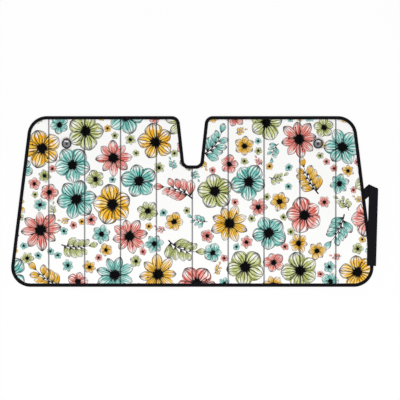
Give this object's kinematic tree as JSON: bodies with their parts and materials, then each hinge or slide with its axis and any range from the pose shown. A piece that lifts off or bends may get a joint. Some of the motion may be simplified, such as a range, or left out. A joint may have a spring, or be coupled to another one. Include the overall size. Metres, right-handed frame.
{
  "type": "car sunshade",
  "caption": "Accordion windscreen sunshade: creased foam sheet with bound edge, mirror notch, suction cups and a closing strap.",
  "frame": {"origin": "rear face of the middle crease, at half the height of the shade", "axes": "+X along the width, +Y towards the roof edge with the mirror notch, +Z out of the printed side"},
  "size_m": [1.4963, 0.696, 0.0196],
  "materials": {
    "printed_laminate": "white film with a printed pattern on thin foam, satin, heat-pressed creases, metallised film behind",
    "binding_tape": "black woven polyester tape with a line of stitches",
    "clear_vinyl": "clear grey soft vinyl, glossy",
    "webbing": "black woven webbing, matte",
    "touch_fastener": "black hook and loop tape"
  },
  "bodies": {
    "root": {"shade_sheet": "printed_laminate", "edge_binding": "binding_tape", "suction_cup_left": "clear_vinyl", "suction_cup_right": "clear_vinyl", "strap": "webbing", "hook_patch": "touch_fastener", "loop_patch": "touch_fastener"}
  },
  "joints": []
}
